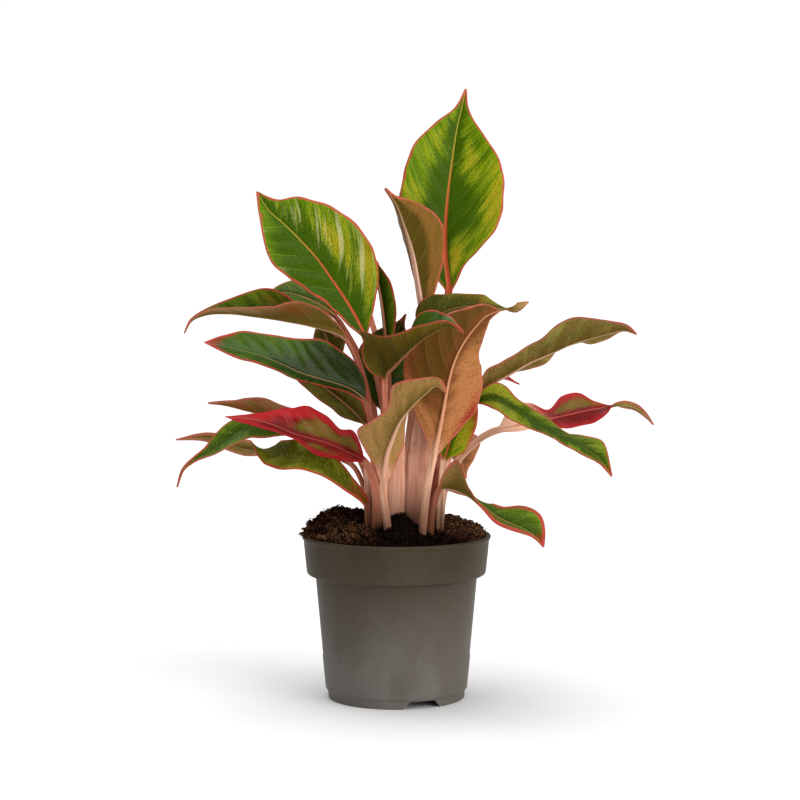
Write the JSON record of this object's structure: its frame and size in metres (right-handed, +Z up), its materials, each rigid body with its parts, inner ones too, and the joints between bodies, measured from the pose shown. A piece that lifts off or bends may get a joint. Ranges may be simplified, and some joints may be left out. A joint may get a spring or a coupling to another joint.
{
  "type": "potted chinese evergreen",
  "caption": "Young chinese evergreen with mottled green and red pointed leaves on pink stalks, standing in soil in a round plastic nursery pot with a banded rim and a footed base",
  "frame": {"origin": "centre of the pot's footprint, on the plane its feet and the pad under its floor stand on", "axes": "+Z up along the pot's axis; -Y is the front that the picture shows; +X is the viewer's right"},
  "size_m": [0.3082, 0.2096, 0.3871],
  "materials": {
    "pot_plastic": "dark grey, fine grain",
    "soil": "dry crumbly potting soil",
    "cane": "smooth pink stem",
    "leaf": "satin leaf, green and red above, copper below"
  },
  "bodies": {
    "root": {"pot": "pot_plastic", "stem_left": "cane", "stem_centre": "cane", "stem_front": "cane", "leaf_top_right": "leaf", "leaf_rolled": "leaf", "leaf_top_left": "leaf", "leaf_half_rolled": "leaf", "leaf_left_long": "leaf", "leaf_left_back": "leaf", "leaf_left_small": "leaf", "leaf_left_glossy": "leaf", "leaf_left_olive": "leaf", "leaf_red": "leaf", "leaf_left_tip": "leaf", "leaf_left_drooping": "leaf", "leaf_left_twisted": "leaf", "leaf_centre_arched": "leaf", "leaf_front_copper": "leaf", "leaf_front": "leaf", "leaf_back_dark": "leaf", "leaf_right_band": "leaf", "leaf_right_long": "leaf", "leaf_right_tip": "leaf", "leaf_right_green": "leaf", "leaf_right_red": "leaf", "leaf_right_yellow": "leaf", "leaf_low_right": "leaf", "leaf_back_right": "leaf", "leaf_back_high": "leaf", "leaf_back_low": "leaf", "soil": "soil"}
  },
  "joints": []
}
